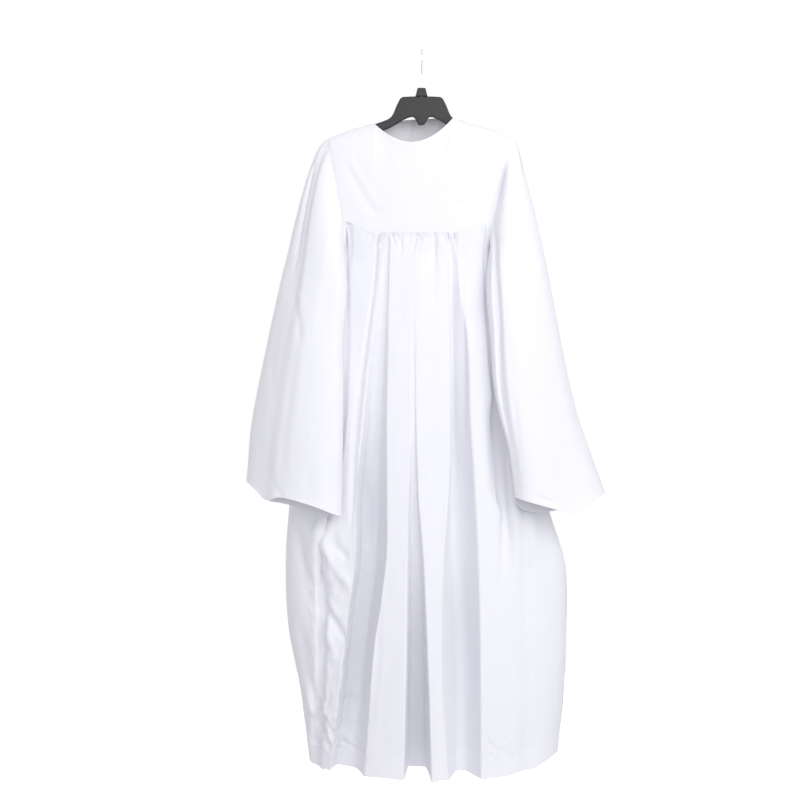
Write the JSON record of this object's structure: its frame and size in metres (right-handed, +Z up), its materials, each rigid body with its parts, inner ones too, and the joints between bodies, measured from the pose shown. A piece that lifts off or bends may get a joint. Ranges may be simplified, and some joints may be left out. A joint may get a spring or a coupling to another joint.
{
  "type": "christening gown on a hanger",
  "caption": "Long white gathered gown with a plain yoke and wide bell sleeves, hanging from a moulded hanger by its wire hook.",
  "frame": {"origin": "underside of the crest of the hanger's hook, where it rests on a rail", "axes": "+X to the viewer's right, the gown's front faces -Y, +Z up; the hook bends in the YZ plane and its rail would lie along X"},
  "size_m": [0.8082, 0.2558, 1.606],
  "materials": {
    "yoke_cloth": "matt woven cotton blend",
    "skirt_cloth": "matt woven cotton blend",
    "sleeve_cloth": "matt woven cotton blend",
    "button_plastic": "satin",
    "hanger_plastic": "satin",
    "clip_plastic": "satin",
    "hook_wire": "polished"
  },
  "bodies": {
    "root": {"yoke_front": "yoke_cloth", "yoke_back_left": "yoke_cloth", "yoke_back_right": "yoke_cloth", "skirt_front": "skirt_cloth", "skirt_back": "skirt_cloth", "sleeve_left": "sleeve_cloth", "sleeve_right": "sleeve_cloth", "back_button_1": "button_plastic", "back_button_2": "button_plastic", "back_button_3": "button_plastic", "hanger_body": "hanger_plastic", "size_clip": "clip_plastic", "hanger_hook": "hook_wire"}
  },
  "joints": []
}
